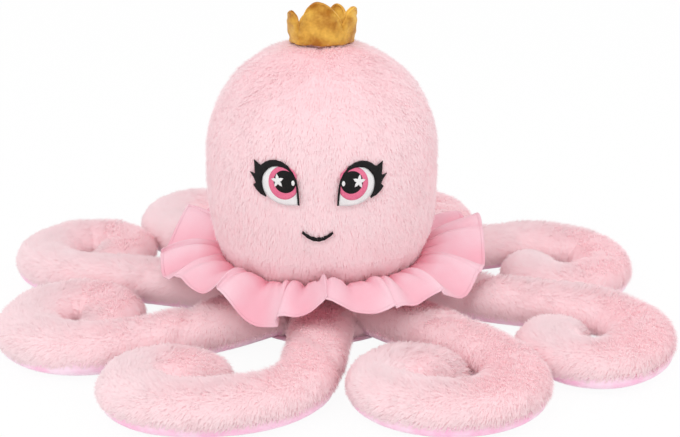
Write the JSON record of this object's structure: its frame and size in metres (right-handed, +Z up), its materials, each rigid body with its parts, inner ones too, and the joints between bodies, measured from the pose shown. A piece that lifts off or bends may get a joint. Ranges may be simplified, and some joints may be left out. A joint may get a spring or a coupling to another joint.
{
  "type": "plush octopus",
  "caption": "Stuffed toy octopus with a tall furry head, an embroidered face, a small padded crown, a gathered chiffon collar and curled furry legs with satin undersides.",
  "frame": {"origin": "on the floor under the middle of the head, at the centre of the flat base panel", "axes": "+Z up; the face looks along -Y; +X to the right of a viewer who faces it"},
  "size_m": [0.6334, 0.5404, 0.3112],
  "materials": {
    "fur": "short dense pile",
    "satin": "satin",
    "chiffon": "sheer",
    "filling": "loose fibre",
    "gold_velour": "velour",
    "black_thread": "satin stitch",
    "white_thread": "satin stitch",
    "pink_thread": "satin stitch"
  },
  "bodies": {
    "torso": {"body_filling": "filling", "body_side_fur": "fur", "body_base_satin": "satin", "head_front_fur": "fur", "head_back_left_fur": "fur", "head_back_right_fur": "fur", "neck_tape": "chiffon", "neck_frill": "chiffon", "crown_outer_cloth": "gold_velour", "crown_inner_cloth": "gold_velour", "mouth_stitching": "black_thread", "eye_left_lashes": "black_thread", "eye_left_white": "white_thread", "eye_left_iris": "pink_thread", "eye_left_pupil": "black_thread", "eye_left_star": "white_thread", "eye_left_glint": "white_thread", "eye_right_lashes": "black_thread", "eye_right_white": "white_thread", "eye_right_iris": "pink_thread", "eye_right_pupil": "black_thread", "eye_right_star": "white_thread", "eye_right_glint": "white_thread", "leg_front_root": "fur", "leg_front_right_root": "fur", "leg_right_root": "fur", "leg_back_right_root": "fur", "leg_back_root": "fur", "leg_back_left_root": "fur", "leg_left_root": "fur", "leg_front_left_root": "fur"},
    "leg_front": {"leg_front_fur": "fur", "leg_front_satin": "satin", "leg_front_filling": "filling"},
    "leg_front_right": {"leg_front_right_fur": "fur", "leg_front_right_satin": "satin", "leg_front_right_filling": "filling"},
    "leg_right": {"leg_right_fur": "fur", "leg_right_satin": "satin", "leg_right_filling": "filling"},
    "leg_back_right": {"leg_back_right_fur": "fur", "leg_back_right_satin": "satin", "leg_back_right_filling": "filling"},
    "leg_back": {"leg_back_fur": "fur", "leg_back_satin": "satin", "leg_back_filling": "filling"},
    "leg_back_left": {"leg_back_left_fur": "fur", "leg_back_left_satin": "satin", "leg_back_left_filling": "filling"},
    "leg_left": {"leg_left_fur": "fur", "leg_left_satin": "satin", "leg_left_filling": "filling"},
    "leg_front_left": {"leg_front_left_fur": "fur", "leg_front_left_satin": "satin", "leg_front_left_filling": "filling"}
  },
  "joints": [
    {"name": "leg_front_bend", "type": "hinge", "parent": "torso", "child": "leg_front", "pos_m": [-0.00705, -0.15499, 0.02319], "axis": [-0.6742, 0.7385, 0], "range_deg": [-60, 40]},
    {"name": "leg_front_right_bend", "type": "hinge", "parent": "torso", "child": "leg_front_right", "pos_m": [0.11093, -0.10888, 0.02325], "axis": [-1, -0.0093, 0], "range_deg": [-60, 40]},
    {"name": "leg_right_bend", "type": "hinge", "parent": "torso", "child": "leg_right", "pos_m": [0.15424, -0.02017, 0.02325], "axis": [-0.7928, -0.6095, 0], "range_deg": [-60, 40]},
    {"name": "leg_back_right_bend", "type": "hinge", "parent": "torso", "child": "leg_back_right", "pos_m": [0.12404, 0.09322, 0.02327], "axis": [-0.1404, -0.9901, 0], "range_deg": [-60, 40]},
    {"name": "leg_back_bend", "type": "hinge", "parent": "torso", "child": "leg_back", "pos_m": [0.008, 0.15515, 0.02323], "axis": [0.6698, -0.7426, 0], "range_deg": [-60, 40]},
    {"name": "leg_back_left_bend", "type": "hinge", "parent": "torso", "child": "leg_back_left", "pos_m": [-0.11502, 0.10408, 0.02324], "axis": [0.9988, 0.0499, 0], "range_deg": [-60, 40]},
    {"name": "leg_left_bend", "type": "hinge", "parent": "torso", "child": "leg_left", "pos_m": [-0.15473, 0.01661, 0.02323], "axis": [0.7785, 0.6276, 0], "range_deg": [-60, 40]},
    {"name": "leg_front_left_bend", "type": "hinge", "parent": "torso", "child": "leg_front_left", "pos_m": [-0.12007, -0.0985, 0.02323], "axis": [0.0982, 0.9952, 0], "range_deg": [-60, 40]}
  ]
}
